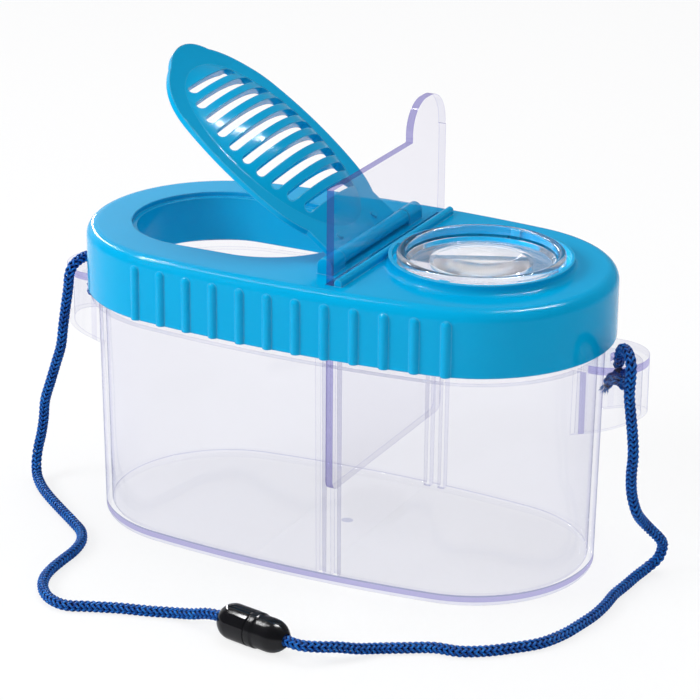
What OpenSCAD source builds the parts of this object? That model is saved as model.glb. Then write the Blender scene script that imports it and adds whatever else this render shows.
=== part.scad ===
// Bug catcher jar: a clear oval tub with a blue lid, a vented flap, a magnifying lens,
// a divider that splits the tub in two, and a neck cord with a clasp that pulls apart.
// Lengths are in millimetres. X runs along the tub to the lens, Y to the back, Z up.

/* [Body] */
// Length over the two rounded ends of the lid
body_length = 160; // [156:1:164]
// Width over the two long sides of the lid
body_width = 85; // [84:0.5:88]
// How much further the long sides stand out than the round ends do
side_bow = 2.5; // [1.9:0.1:4.1]
// Height of the lid's top face above the table
body_height = 89; // [87:0.5:92]

/* [Tub] */
// Thickness of the tub's wall
tub_wall = 1.8; // [1.4:0.1:2]
// Thickness of the tub's floor
tub_floor = 2.2; // [1.6:0.1:3]
// How far the tub's wall lies in from the lid's wall, just below the collar
tub_inset = 3.1; // [2.9:0.1:3.3]
// How much further in the tub's wall lies at the foot
tub_taper = 1; // [0.6:0.1:1.2]
// Radius of the edge round the foot of the tub
foot_round = 1.5; // [0.8:0.1:2]
// Radius of the corner inside the foot of the tub
inner_foot_round = 1; // [0.5:0.1:1.5]
// Height of the collar that the lid stands on
collar_height = 2.6; // [2:0.1:3.2]
// How far the collar's edge lies in from the lid's wall
collar_inset = 0.9; // [0.4:0.1:1.4]
// Free space between the neck of the tub and the skirt of the lid
neck_gap = 0.35; // [0.3:0.05:0.6]
// Height of the neck above the collar
neck_height = 15.6; // [12:0.2:16.2]

/* [Guides] */
// Width of each of the upright guide ribs that hold the divider
guide_width = 2; // [1.4:0.1:2.2]
// How far a guide rib stands out of the tub's wall at its foot
guide_depth = 2.4; // [1.8:0.1:3]
// Height of the top of the guide ribs above the table
guide_top = 84; // [80:0.5:85]
// Free space between the divider and a guide rib
guide_gap = 0.2; // [0.15:0.05:0.35]

/* [Ears] */
// Distance from the middle of the tub to the centre of an ear
ear_centre = 80.5; // [79.5:0.1:81.5]
// Radius of an ear's rounded outline
ear_radius = 11.5; // [11:0.1:12]
// How far the ear's top lies below the top of the collar
ear_drop = 0.4; // [0.3:0.1:1]
// Thickness of an ear's top plate
ear_plate = 2.3; // [1.8:0.1:2.6]
// Thickness of an ear's side wall
ear_wall = 1.8; // [1.2:0.1:2]
// Depth of an ear where it meets the tub
ear_depth = 20.8; // [18:0.2:22]
// Slope of an ear's lower edge, in degrees
ear_slope = 16; // [10:1:20]
// Distance from the middle of the tub to the cord hole
ear_hole_place = 84; // [83.6:0.1:84.4]
// Radius of the cord hole
ear_hole_radius = 2.6; // [2.4:0.1:3]

/* [Lid] */
// Height of the lid from its lower edge to its top face
lid_height = 19.1; // [18.6:0.1:20]
// Thickness of the lid's skirt
lid_wall = 2; // [1.6:0.1:2]
// Thickness of the lid's top plate
lid_plate = 2; // [1.8:0.1:2.6]
// Radius of the lid's upper edge
lid_round = 3.5; // [2:0.1:4]
// Number of grip ribs on each long side
rib_count = 12; // [10:1:13]
// Distance from one grip rib to the next
rib_pitch = 8.74; // [8:0.02:9]
// Distance of the middle of the row of ribs from the middle of the lid
rib_row_shift = 1; // [0:0.2:2]
// Radius of a grip rib
rib_radius = 1.5; // [1.2:0.1:1.8]
// How far a grip rib stands out of the skirt
rib_proud = 1.05; // [0.6:0.05:1.3]
// Height of a grip rib up to its round end
rib_height = 14.6; // [12:0.2:15]

/* [Opening] */
// Distance from the middle of the lid to the far rounded end of the opening
opening_far = 41.4; // [41:0.1:41.8]
// Distance from the middle of the lid to the near rounded end of the opening
opening_near = 24.5; // [24:0.1:25]
// Radius of the rounded ends of the opening's upper step
opening_radius = 25.6; // [25.2:0.1:25.8]
// Depth of the opening's upper step
opening_step = 1.35; // [1:0.05:1.5]
// Width of the ledge at the bottom of that step
opening_ledge = 1.4; // [1:0.1:1.6]
// Thickness of the wall that hangs below the opening
chute_wall = 1.8; // [1.4:0.1:2]
// Height of the lower edge of that wall above the table
chute_foot = 74.5; // [73:0.5:78]

/* [Divider] */
// Distance from the middle of the lid to the middle of the divider
divider_place = 12.4; // [12.3:0.1:12.5]
// Thickness of the divider
divider_thickness = 2.2; // [1.8:0.1:2.3]
// Free space between the divider's edges and the tub's wall at its foot
divider_side_gap = 1.2; // [1.2:0.1:1.6]
// Height of the divider's lower edge above the table, drawn up as in the picture
divider_foot = 27.7; // [27.5:0.1:30]
// Height of the divider from its lower edge to its upper edge
divider_height = 88.6; // [80:0.2:90]
// Radius of the divider's lower corners
divider_round = 3; // [1:0.5:5]
// Width of the thumb tab
tab_width = 21.6; // [20.6:0.1:23]
// How far the thumb tab's far side lies in from the divider's edge
tab_inset = 0.4; // [0.4:0.1:1.4]
// Height of the thumb tab above the divider's upper edge
tab_height = 11.2; // [10.6:0.1:13]
// Radius of the thumb tab's near corner
tab_near_round = 9; // [8:0.1:10]
// Radius of the thumb tab's far corner
tab_far_round = 10; // [9:0.1:10.4]
// Free space between the divider and its slot in the lid
slot_gap = 0.25; // [0.2:0.05:0.35]
// Height of the raised bar beside the slot
bar_height = 2.2; // [1.6:0.1:3]
// Width of the raised bar
bar_width = 2.2; // [1.8:0.1:2.4]
// Free strip between the slot and the raised bar
bar_shift = 0.25; // [0.2:0.05:0.4]
// How far the raised bar runs past each end of the slot
bar_overhang = 0.35; // [0.05:0.05:1]

/* [Hinge] */
// Distance from the middle of the lid to the hinge line of the flap
hinge_place = 7.2; // [7:0.1:7.4]
// Height of the hinge line above the lid's top face
hinge_height = 2.4; // [2.4:0.05:2.8]
// Radius of the flap's hinge barrel
barrel_radius = 2.2; // [2:0.05:2.2]
// Half of the length of the hinge barrel
barrel_half = 20.2; // [19:0.1:21]
// Radius of the pins at the ends of the barrel
pin_radius = 1.2; // [1:0.05:1.3]
// Length of each pin
pin_length = 4.6; // [3:0.1:5]
// Free space round a pin in its bore
pin_gap = 0.05; // [0.03:0.01:0.08]
// Free space between the barrel and each hinge bracket
bracket_gap = 0.3; // [0.2:0.05:0.5]
// Radius of the round top of a hinge bracket
bracket_radius = 2.3; // [2.1:0.05:2.5]
// Length of a hinge bracket along the hinge line
bracket_length = 8.2; // [7:0.1:9]

/* [Flap] */
// How far the flap stands open in the picture, in degrees
flap_open = 37; // [20:1:60]
// Thickness of the flap's rim
flap_thickness = 1.65; // [1.5:0.05:1.65]
// How far the upper face of the rim lies below the hinge line
flap_drop = 0.6; // [0.5:0.05:0.6]
// Distance from the hinge line to the middle of the flap's oval
flap_middle = 38.4; // [38:0.1:38.8]
// Half of the length of the flap's oval
flap_half_length = 37.3; // [37:0.1:37.8]
// Half of the width of the flap's oval
flap_half_width = 26; // [25.8:0.1:26.6]
// Radius of the ends of the flap's oval
flap_end_radius = 24.8; // [24.4:0.1:25.2]
// Half of the width of the flap at the hinge
neck_half = 20; // [18:0.1:20.3]
// Length of the straight sides at the hinge
neck_length = 20; // [16:1:30]
// Distance from the hinge line to the centre of the round tip
finger_place = 61.4; // [60.5:0.1:62]
// Radius of the round tip
finger_radius = 16; // [15:0.1:16.4]
// Distance from the hinge line to where the flap starts to curl up
curl_start = 62; // [60:0.5:66]
// Radius of the curl at the tip of the flap
curl_radius = 55; // [45:1:80]
// Height of each of the two small pips near the hinge
pip_height = 0.6; // [0.4:0.1:0.8]
// Radius of a pip
pip_radius = 1; // [0.8:0.1:1.2]
// Distance from the hinge line to the pips
pip_place = 5.2; // [4.8:0.1:6]
// Distance from the flap's middle line to a pip
pip_side = 10.6; // [9:0.1:12]

/* [Vent] */
// Distance from the hinge line to the middle of the vent's dome
vent_middle = 39; // [38.5:0.1:39.5]
// Radius of the dome from side to side
dome_cross_radius = 40; // [39:0.5:42]
// Radius of the dome from the hinge to the tip
dome_long_radius = 85; // [84:1:90]
// Height of the top of the dome above the hinge line
dome_rise = 5.9; // [5.4:0.1:6.2]
// Thickness of the dome's slats
slat_thickness = 2.6; // [2:0.1:2.8]
// Number of vent slots
slot_count = 10; // [8:1:10]
// Distance from the hinge line to the first vent slot
slot_first = 16.8; // [16.6:0.1:17.4]
// Distance from one vent slot to the next
slot_pitch = 5.24; // [5.1:0.02:5.26]
// Width of a vent slot
slot_width = 2.8; // [2:0.1:3]
// How far the slots end short of the edge of the dome
slot_margin = 1.9; // [1.6:0.1:2.6]

/* [Lens] */
// Distance from the middle of the lid to the middle of the lens
lens_place = 41.6; // [41.4:0.1:41.8]
// Outer radius of the ring on the lid round the lens
ring_radius = 26; // [25.8:0.1:26.2]
// Inner radius of that ring
ring_inner_radius = 25; // [24.8:0.1:25.2]
// Height of the ring above the lid's top face
ring_height = 2.7; // [2.2:0.1:3.2]
// Radius of the fillet at the foot of the ring
ring_fillet = 1.5; // [1:0.1:1.5]
// Height of the ledge inside the ring above the lid's top face
ring_ledge = 0.6; // [0.4:0.1:0.8]
// Outer radius of the lens's rim
lens_rim_radius = 23.7; // [23.5:0.1:24]
// Width of the lens's rim
lens_rim_width = 2.4; // [2.2:0.1:2.6]
// Height of the rim above its ledge
lens_rim_height = 3.4; // [2.8:0.1:4]
// Outer radius of the part of the lens below its rim
lens_body_radius = 21.5; // [21.4:0.1:21.8]
// Free space between the lens and the hole that it drops into
lens_gap = 0.3; // [0.2:0.05:0.5]
// Radius of the well of the lens at its floor
lens_well_radius = 20; // [19:0.1:20.4]
// Thickness of the floor of the well
lens_floor = 1.5; // [1.2:0.1:1.8]
// Depth of the underside of that floor below the lens's ledge
lens_depth = 2.1; // [1.8:0.1:2.4]
// Radius of the magnifying glass in the floor
glass_radius = 14.5; // [13:0.1:16]
// Thickness of the magnifying glass at its middle
glass_thickness = 5.2; // [4.8:0.1:5.6]
// Radius of the two curved faces of the magnifying glass
glass_curve = 66; // [60:1:80]
// How far the middle of the glass lies above the middle of the floor
glass_lift = 0.95; // [0.5:0.05:1.2]
// Number of small nibs that hold the lens in its ring
nib_count = 4; // [3:1:6]
// Width of a nib
nib_width = 3; // [2:0.1:4]
// Free space between a nib and the lens
nib_gap = 0.3; // [0.2:0.05:0.4]

/* [Cord] */
// Diameter of the cord
cord_diameter = 3.2; // [2.8:0.1:3.4]
// Radius of the knot under each ear
ear_knot_radius = 3.5; // [3:0.1:3.8]
// Height of the flat where the cord enters a knot, above the knot's middle
ear_knot_flat = 2.6; // [2.4:0.1:2.8]
// Length of the loose tail that sticks out of a knot
knot_tail = 5.4; // [4.6:0.1:5.6]

/* [Clasp] */
// Length of the closed clasp
clasp_length = 23; // [22:0.1:24]
// Radius of the half of the clasp with the socket
socket_radius = 5.1; // [5:0.05:5.1]
// Radius of the half of the clasp with the plug
plug_radius = 4.9; // [4.8:0.05:5]
// Radius of the rounded ends of the clasp
clasp_round = 3.4; // [3.2:0.1:3.6]
// Radius of the hole for the cord in each end
clasp_bore = 1.85; // [1.8:0.05:1.9]
// Thickness of the end walls of the clasp
clasp_end_wall = 2.1; // [1.8:0.1:2.2]
// Radius of the space inside the socket
socket_inner_radius = 3.7; // [3.5:0.05:3.8]
// Free space between the plug and the socket
plug_gap = 0.08; // [0.05:0.01:0.1]
// Length of the plug inside the socket
plug_reach = 2.5; // [2:0.1:2.8]
// Radius of the space inside the plug
plug_inner_radius = 2.9; // [2.8:0.05:3]
// Radius of the knots inside the clasp
clasp_knot_radius = 2.6; // [2.3:0.05:2.7]
// Distance from a clasp knot's middle to the flat where the cord enters it
clasp_knot_flat = 2; // [1.8:0.1:2]
// Distance from the middle of the clasp to the ends of the cords inside it
cord_end_place = 9.2; // [9.1:0.1:9.3]

/* [Hidden] */
overrun = body_width / 20;
reach = 4 * body_length;
half_length = body_length / 2;
half_width = body_width / 2;
end_radius = half_width - side_bow;
collar_top = body_height - lid_height;
collar_foot = collar_top - collar_height;
neck_top = collar_top + neck_height;
plate_foot = body_height - lid_plate;
neck_inset = lid_wall + neck_gap;
wall_half = half_width - tub_inset - tub_taper - tub_wall;
guide_reach = wall_half - guide_depth;
divider_half = wall_half - divider_side_gap;
tab_far = divider_half - tab_inset;
tab_near = tab_far - tab_width;
slot_half_width = divider_thickness / 2 + slot_gap;
slot_edge = divider_half + slot_gap;
bar_half = slot_edge + bar_overhang;
ear_top = collar_top - ear_drop;
hinge_z = body_height + hinge_height;
bar_near = divider_place + slot_half_width + bar_shift;
chute_radius = opening_radius - opening_ledge;
ledge_z = body_height + ring_ledge;
lens_foot = ledge_z - lens_depth;
lens_floor_top = lens_foot + lens_floor;
glass_middle = (lens_foot + lens_floor_top) / 2 + glass_lift;
rim_top = ledge_z + lens_rim_height;
flap_foot = -flap_drop - flap_thickness;
divider_top = divider_foot + divider_height;
cord_radius = cord_diameter / 2;
tail_radius_share = 0.94;
wrap_shares = [0.66, 0.42];
clasp_place = [13.4, -81.4, 5.1];
clasp_turn = -12;
left_knot_place = [-83.5, 0.5, 60.6];
right_knot_place = [83.9, -0.3, 62.6];
left_route = [
  [-83.5, 0.5, 63.2], [-83.5, 0.5, 66.2], [-83.5, -0.3, 69.4], [-83.6, -2.6, 71.5], [-83.8, -5.7, 72.4],
  [-84.1, -8.9, 72.3], [-84.7, -11.6, 71.2], [-85.2, -12.9, 69], [-86, -12.7, 64], [-87.1, -12.5, 58.4],
  [-88.1, -12.6, 52], [-89.1, -12.6, 45.4], [-91.3, -12.3, 39.1], [-93.6, -12, 32.7], [-95.9, -11.6, 26.3],
  [-97.2, -10.7, 19.8], [-98.8, -9.9, 13.8], [-100.2, -9.7, 8.9], [-100, -11.1, 5], [-98.2, -13.8, 2.5],
  [-94.4, -18, 1.65], [-88.4, -23.7, 1.65], [-79.7, -30.7, 1.65], [-71, -37.4, 1.65], [-65.1, -42.4, 1.65],
  [-61.6, -48, 1.65], [-60, -54.2, 1.65], [-59.6, -61.7, 1.65], [-59.1, -68.3, 1.65], [-57.7, -74.2, 1.65],
  [-54.5, -80.1, 1.65], [-49.5, -84.8, 1.65], [-43.3, -86.5, 1.65], [-36.7, -84.1, 1.65], [-28.9, -81.2, 1.65],
  [-20.8, -79, 1.65], [-14, -77.2, 1.9], [-8, -77.4, 3], [-3, -78, 4.5], [1.2, -78.8, 5.1],
  [4.4, -79.5, 5.1]
];
right_route = [
  [83.9, -0.3, 65.2], [83.9, -0.3, 67.6], [84.3, -0.8, 70.2], [85.6, -2.4, 72.3], [87.4, -4.5, 73.1],
  [89.2, -6.6, 72.5], [90.6, -8.3, 70.6], [90.9, -8.8, 67.6], [90.7, -8.8, 62], [91.2, -8.3, 56],
  [91.7, -7.5, 49.5], [91.9, -6.9, 43.4], [91, -5.3, 37], [90.5, -2.9, 30], [91.4, -1.3, 24.4],
  [91.6, 4.4, 18.9], [92.8, 8.2, 15], [94, 10.9, 12], [94.2, 13.6, 8.8], [93, 13.7, 4.5],
  [90.8, 11.1, 2.1], [89.8, 5.2, 1.65], [89.4, -2.3, 1.65], [88.9, -9, 1.65], [89.3, -16.3, 1.65],
  [89.1, -23.5, 1.65], [88, -30.7, 1.65], [86.2, -39.1, 1.65], [82.8, -47, 1.65], [77.6, -52.8, 1.65],
  [71.8, -58.1, 1.65], [65.7, -61.6, 1.65], [58.4, -62.9, 1.65], [51.8, -66.5, 1.65], [45.5, -70.1, 1.65],
  [41.4, -74.9, 2.7], [37.4, -79.1, 4.1], [33.6, -82.8, 4.9], [29, -84.6, 5.1], [22.4, -83.3, 5.1]
];
clear_tint = [0.88, 0.88, 0.96, 0.45];
blue_tint = [0, 0.6, 0.82];
cord_tint = [0.06, 0.2, 0.55];
black_tint = [0.03, 0.03, 0.03];

// Radius of the long sides of an oval made of four arcs that run smoothly into each other.
function long_radius(length, width, tip) =
  (pow(length - tip, 2) + width * width - tip * tip) / (2 * (width - tip));

// Half of the width of such an oval at a distance along it from its middle.
function oval_half(along, length, width, tip) =
  let (centre = length - tip, side = long_radius(length, width, tip))
  abs(along) < centre * side / (side - tip)
    ? sqrt(side * side - along * along) - side + width
    : sqrt(tip * tip - pow(abs(along) - centre, 2));

// A filled oval of four arcs.
module oval_shape(length, width, tip) {
  centre = length - tip;
  side = long_radius(length, width, tip);
  for (end = [-1, 1])
    translate([end * centre, 0])
      circle(tip, $fn = 96);
  intersection() {
    translate([0, width - side])
      circle(side, $fn = 180);
    translate([0, side - width])
      circle(side, $fn = 180);
    square([2 * centre * side / (side - tip), 2 * width + overrun], center = true);
  }
}

// One of the four sectors of the body: an outline turned about the middle of its arc and cut to
// the sector's plan. The outline's X runs out from the lid's wall.
module sector(radius, plan) {
  intersection() {
    rotate_extrude($fn = 360)
      intersection() {
        translate([radius, 0])
          children();
        translate([0, -overrun])
          square([2 * radius, 2 * body_height]);
      }
    translate([0, 0, -2 * overrun])
      linear_extrude(3 * body_height)
        polygon(plan);
  }
}

// Solid with the oval plan of the body, from four sectors that run smoothly into each other.
module around_body() {
  centre = half_length - end_radius;
  side = long_radius(half_length, half_width, end_radius);
  drop = side - half_width;
  seam = [centre, drop];
  for (end = [0, 1])
    mirror([end, 0, 0])
      translate([centre, 0, 0])
        sector(end_radius, [[0, 0], [centre, -drop], [body_length, -drop], [body_length, drop], seam])
          children();
  for (face = [0, 1])
    mirror([0, face, 0])
      translate([0, -drop, 0])
        sector(side, [[0, drop - overrun], seam, 2 * seam, [-2 * centre, 2 * drop], [-centre, drop]])
          children();
}

// Outline filled from the middle of the body out to a wall, between two heights.
module filled(out, low, high) {
  translate([-reach, low])
    square([reach + out, high - low]);
}

// The same with a leaning wall and a round lower edge.
module leaning(low_out, high_out, low, high, edge) {
  polygon([
    [-reach, low],
    [low_out - edge, low],
    [low_out, low + edge],
    [high_out, high],
    [-reach, high]
  ]);
  translate([low_out - edge, low + edge])
    circle(edge, $fn = 48);
}

// A shape with two round ends, drawn between two points on the X axis.
module long_hole(far, near, radius) {
  for (end = [far, near])
    translate([end, 0])
      circle(radius, $fn = 96);
  translate([far, -radius])
    square([near - far, 2 * radius]);
}

// Rod along Y.
module rod_y(radius, from, length) {
  translate([0, from, 0])
    rotate([-90, 0, 0])
      cylinder(r = radius, h = length, $fn = 48);
}

module ear_outline(radius) {
  translate([ear_centre, 0])
    circle(radius, $fn = 72);
  translate([half_length - tub_inset - 2 * ear_wall, -radius])
    square([ear_centre - half_length + tub_inset + 2 * ear_wall, 2 * radius]);
}

module ear() {
  difference() {
    translate([0, 0, ear_top - 2 * ear_depth])
      linear_extrude(2 * ear_depth)
        ear_outline(ear_radius);
    translate([0, 0, ear_top - ear_plate - 2 * ear_depth])
      linear_extrude(2 * ear_depth)
        ear_outline(ear_radius - ear_wall);
    translate([half_length - tub_inset, 0, ear_top - ear_depth])
      rotate([0, -ear_slope, 0])
        translate([-body_width, -body_width, -2 * body_width])
          cube(2 * body_width);
    translate([ear_hole_place, 0, ear_top - 2 * ear_plate])
      cylinder(r = ear_hole_radius, h = 3 * ear_plate, $fn = 48);
  }
}

module tub() {
  color(clear_tint) {
    difference() {
      union() {
        around_body() {
          leaning(-tub_inset - tub_taper, -tub_inset, 0, collar_foot + collar_height / 2, foot_round);
        }
        around_body() {
          filled(-collar_inset, collar_foot, collar_top);
        }
        around_body() {
          filled(-neck_inset, collar_foot, neck_top);
        }
        ear();
        mirror([1, 0, 0])
          ear();
      }
      around_body() {
        leaning(
          -tub_inset - tub_taper - tub_wall,
          -tub_inset - tub_wall + tub_taper * neck_height / collar_top,
          tub_floor,
          neck_top + overrun,
          inner_foot_round
        );
      }
    }
    for (face = [0, 180])
      rotate([0, 0, face])
        guides(face == 0 ? 1 : -1);
  }
}

// The two guide ribs on the back wall, or turned round, on the front wall.
module guides(turn) {
  channel = divider_thickness / 2 + guide_gap;
  for (near = [turn * divider_place - channel - guide_width, turn * divider_place + channel])
    translate([near, guide_reach, tub_floor - tub_wall / 2])
      cube([guide_width, guide_depth + tub_wall * 4 / 5, guide_top - tub_floor + tub_wall / 2]);
}

module grip_ribs() {
  inward = rib_radius - rib_proud;
  for (face = [0, 180])
    rotate([0, 0, face])
      for (n = [0:rib_count - 1]) {
        place = (face == 0 ? 1 : -1) * rib_row_shift + (n - (rib_count - 1) / 2) * rib_pitch;
        out = oval_half(place, half_length - inward, half_width - inward, end_radius - inward);
        translate([place, out, collar_top]) {
          cylinder(r = rib_radius, h = rib_height, $fn = 32);
          translate([0, 0, rib_height])
            sphere(rib_radius, $fn = 32);
        }
      }
}

module hinge_bracket() {
  translate([hinge_place, barrel_half + bracket_gap, 0]) {
    translate([-bracket_radius, 0, plate_foot])
      cube([2 * bracket_radius, bracket_length, hinge_z - plate_foot]);
    translate([0, 0, hinge_z])
      rod_y(bracket_radius, 0, bracket_length);
  }
}

module lens_ring() {
  translate([lens_place, 0, body_height]) {
    translate([0, 0, -lid_plate / 2])
      cylinder(r = ring_radius, h = ring_height + lid_plate / 2, $fn = 128);
    rotate_extrude($fn = 128)
      difference() {
        translate([ring_radius - ring_fillet, -lid_plate / 2])
          square([2 * ring_fillet, ring_fillet + lid_plate / 2]);
        translate([ring_radius + ring_fillet, ring_fillet])
          circle(ring_fillet, $fn = 48);
      }
  }
}

module nibs() {
  reach = lens_rim_radius + nib_gap;
  translate([lens_place, 0, 0])
    for (n = [0:nib_count - 1])
      rotate([0, 0, 360 * n / nib_count])
        translate([reach, -nib_width / 2, ledge_z - lid_plate / 4])
          cube([(ring_radius + ring_inner_radius) / 2 - reach, nib_width, ring_height - ring_ledge + lid_plate / 4]);
}

module slot_bar() {
  translate([bar_near, -bar_half, body_height - lid_plate / 2])
    cube([bar_width, 2 * bar_half, bar_height - bar_width / 2 + lid_plate / 2]);
  translate([bar_near + bar_width / 2, 0, body_height + bar_height - bar_width / 2])
    rod_y(bar_width / 2, -bar_half, 2 * bar_half);
}

module lid() {
  color(blue_tint) {
    difference() {
      union() {
        difference() {
          union() {
            around_body() {
              filled(0, collar_top, body_height - lid_round);
              filled(-lid_round, collar_top, body_height);
              translate([-lid_round, body_height - lid_round])
                circle(lid_round, $fn = 64);
            }
            grip_ribs();
          }
          around_body() {
            filled(-lid_wall, collar_top - overrun, plate_foot);
          }
        }
        translate([0, 0, chute_foot])
          linear_extrude(plate_foot - chute_foot + lid_plate / 4)
            long_hole(-opening_far, -opening_near, chute_radius + chute_wall);
        hinge_bracket();
        mirror([0, 1, 0])
          hinge_bracket();
        lens_ring();
        slot_bar();
      }
      translate([0, 0, body_height - opening_step])
        linear_extrude(opening_step + overrun)
          long_hole(-opening_far, -opening_near, opening_radius);
      translate([0, 0, chute_foot - overrun])
        linear_extrude(lid_height)
          long_hole(-opening_far, -opening_near, chute_radius);
      translate([lens_place, 0, plate_foot - overrun])
        cylinder(r = lens_body_radius + lens_gap, h = lid_height, $fn = 128);
      translate([lens_place, 0, ledge_z])
        cylinder(r = ring_inner_radius, h = lid_height, $fn = 128);
      translate([divider_place - slot_half_width, -slot_edge, plate_foot - overrun])
        cube([2 * slot_half_width, 2 * slot_edge, lid_height]);
      for (side = [0, 180])
        translate([hinge_place, 0, hinge_z])
          rotate([0, 0, side])
            rod_y(pin_radius + pin_gap, barrel_half - bracket_gap, pin_length + 3 * bracket_gap);
    }
    nibs();
  }
}

// Outline of the flap seen from above, with the hinge line on the Y axis.
module flap_outline() {
  translate([-flap_middle, 0])
    oval_shape(flap_half_length, flap_half_width, flap_end_radius);
  translate([-neck_length, -neck_half])
    square([neck_length, 2 * neck_half]);
  translate([-finger_place, 0])
    circle(finger_radius, $fn = 96);
}

// Thin plate that follows the flap's length and curls up at its tip.
module flap_sheet() {
  translate([-curl_start, -body_width / 2, flap_foot])
    cube([curl_start, body_width, flap_thickness]);
  translate([-curl_start, 0, curl_radius - flap_drop])
    intersection() {
      difference() {
        rod_y(curl_radius + flap_thickness, -body_width / 2, body_width);
        rod_y(curl_radius, -body_width, 2 * body_width);
      }
      translate([-curl_radius / 2, -body_width, -2 * curl_radius])
        cube([curl_radius / 2, 2 * body_width, 2 * curl_radius]);
    }
}

// Half of the width of the dome at the face of the rim, at a distance from the hinge line.
function dome_half(along) =
  let (
    level = dome_long_radius - dome_rise - flap_drop,
    fall = norm([along - vent_middle, level]) - dome_long_radius + dome_cross_radius
  )
  sqrt(max(0, pow(dome_cross_radius, 2) - fall * fall));

// Body with the dome's double curve on top, drawn in by a wall.
module dome(wall) {
  translate([-vent_middle, 0, dome_rise - dome_long_radius])
    rotate([90, 0, 0])
      rotate_extrude($fn = 360)
        translate([dome_long_radius - dome_cross_radius, 0])
          intersection() {
            circle(dome_cross_radius - wall, $fn = 360);
            translate([0, -dome_cross_radius])
              square([dome_cross_radius, 2 * dome_cross_radius]);
          }
}

module vent_slots() {
  for (n = [0:slot_count - 1]) {
    along = slot_first + n * slot_pitch;
    half = dome_half(along) - slot_margin - slot_width / 2;
    translate([-along, 0, -flap_half_width]) {
      translate([-slot_width / 2, -half, 0])
        cube([slot_width, 2 * half, 2 * flap_half_width]);
      for (side = [-half, half])
        translate([0, side, 0])
          cylinder(r = slot_width / 2, h = 2 * flap_half_width, $fn = 32);
    }
  }
}

module vent_flap() {
  color(blue_tint)
    translate([hinge_place, 0, hinge_z])
      rotate([0, flap_open, 0]) {
        difference() {
          union() {
            intersection() {
              flap_sheet();
              translate([0, 0, 2 * flap_foot])
                linear_extrude(flap_half_width)
                  flap_outline();
            }
            intersection() {
              dome(0);
              translate([-body_length, -body_width / 2, -flap_drop - flap_thickness / 2])
                cube([body_length, body_width, 2 * dome_rise]);
            }
          }
          dome(slat_thickness);
          vent_slots();
        }
        rod_y(barrel_radius, -barrel_half, 2 * barrel_half);
        rod_y(pin_radius, -barrel_half - pin_length, 2 * (barrel_half + pin_length));
        for (side = [-pip_side, pip_side])
          translate([-pip_place, side, -flap_drop - flap_thickness / 2])
            cylinder(r = pip_radius, h = pip_height + flap_thickness / 2, $fn = 24);
      }
}

module divider_outline() {
  translate([-divider_half, divider_foot + divider_round])
    square([2 * divider_half, divider_height - divider_round]);
  translate([divider_round - divider_half, divider_foot])
    square([2 * (divider_half - divider_round), divider_height]);
  for (side = [-1, 1])
    translate([side * (divider_half - divider_round), divider_foot + divider_round])
      circle(divider_round, $fn = 48);
  tab_top = divider_top + tab_height;
  near = tab_near + tab_near_round;
  far = tab_far - tab_far_round;
  translate([near, tab_top - tab_near_round])
    circle(tab_near_round, $fn = 72);
  translate([far, tab_top - tab_far_round])
    circle(tab_far_round, $fn = 72);
  translate([near, divider_top - tab_height])
    square([far - near, 2 * tab_height]);
  translate([tab_near, divider_top - tab_height])
    square([tab_far - tab_near, 2 * tab_height - max(tab_near_round, tab_far_round)]);
}

module divider() {
  color(clear_tint)
    translate([divider_place - divider_thickness / 2, 0, 0])
      rotate([90, 0, 90])
        linear_extrude(divider_thickness)
          divider_outline();
}

module lens() {
  rim_middle = lens_rim_radius - lens_rim_width / 2;
  rim_inner = lens_rim_radius - lens_rim_width;
  color(clear_tint)
    translate([lens_place, 0, 0])
      rotate_extrude($fn = 128) {
        translate([rim_inner, ledge_z])
          square([lens_rim_width, lens_rim_height - lens_rim_width / 2]);
        translate([rim_middle, rim_top - lens_rim_width / 2])
          circle(lens_rim_width / 2, $fn = 48);
        polygon([
          [glass_radius - lens_floor, lens_foot],
          [lens_body_radius, lens_foot],
          [lens_body_radius, ledge_z + lens_rim_width / 2],
          [rim_inner, ledge_z + lens_rim_width / 2],
          [lens_well_radius, lens_floor_top],
          [glass_radius - lens_floor, lens_floor_top]
        ]);
        intersection() {
          translate([0, glass_middle + glass_thickness / 2 - glass_curve])
            circle(glass_curve, $fn = 360);
          translate([0, glass_middle - glass_thickness / 2 + glass_curve])
            circle(glass_curve, $fn = 360);
          translate([0, glass_middle - glass_thickness])
            square([glass_radius, 2 * glass_thickness]);
        }
      }
}

function unit(v) = v / norm(v);

// Direction of a route at one of its points.
function heading(route, n) =
  unit(route[min(n + 1, len(route) - 1)] - route[max(n - 1, 0)]);

function level(v, way) = unit(v - way * (v * way));

// Sideways direction at each point, carried along the route so that the tube doesn't twist.
function sideways(route) = [
  for (n = 0, side = level([1, 0, 0], heading(route, 0)); n < len(route);
    n = n + 1, side = n < len(route) ? level(side, heading(route, n)) : side)
    side
];

module tube(route, radius, sides) {
  across = sideways(route);
  count = len(route);
  points = [
    for (n = [0:count - 1])
      let (way = heading(route, n), up = cross(way, across[n]))
      for (k = [0:sides - 1])
        route[n] + radius * (cos(360 * k / sides) * across[n] + sin(360 * k / sides) * up)
  ];
  skin = [
    for (n = [0:count - 2])
      for (k = [0:sides - 1])
        let (a = n * sides + k, b = n * sides + (k + 1) % sides)
        for (face = [[a, a + sides, b], [b, a + sides, b + sides]])
          face
  ];
  near_cap = [for (k = [0:sides - 1]) k];
  far_cap = [for (k = [sides - 1:-1:0]) (count - 1) * sides + k];
  polyhedron(points = points, faces = concat([near_cap], skin, [far_cap]));
}

module cord_left() {
  color(cord_tint)
    tube(left_route, cord_radius, 8);
}

module cord_right() {
  color(cord_tint)
    tube(right_route, cord_radius, 8);
}

// Ball with a flat on top, where a cord enters it.
module flat_ball(radius, flat) {
  rotate_extrude($fn = 64)
    intersection() {
      circle(radius, $fn = 64);
      translate([0, -radius])
        square([radius, radius + flat]);
    }
}

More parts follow.
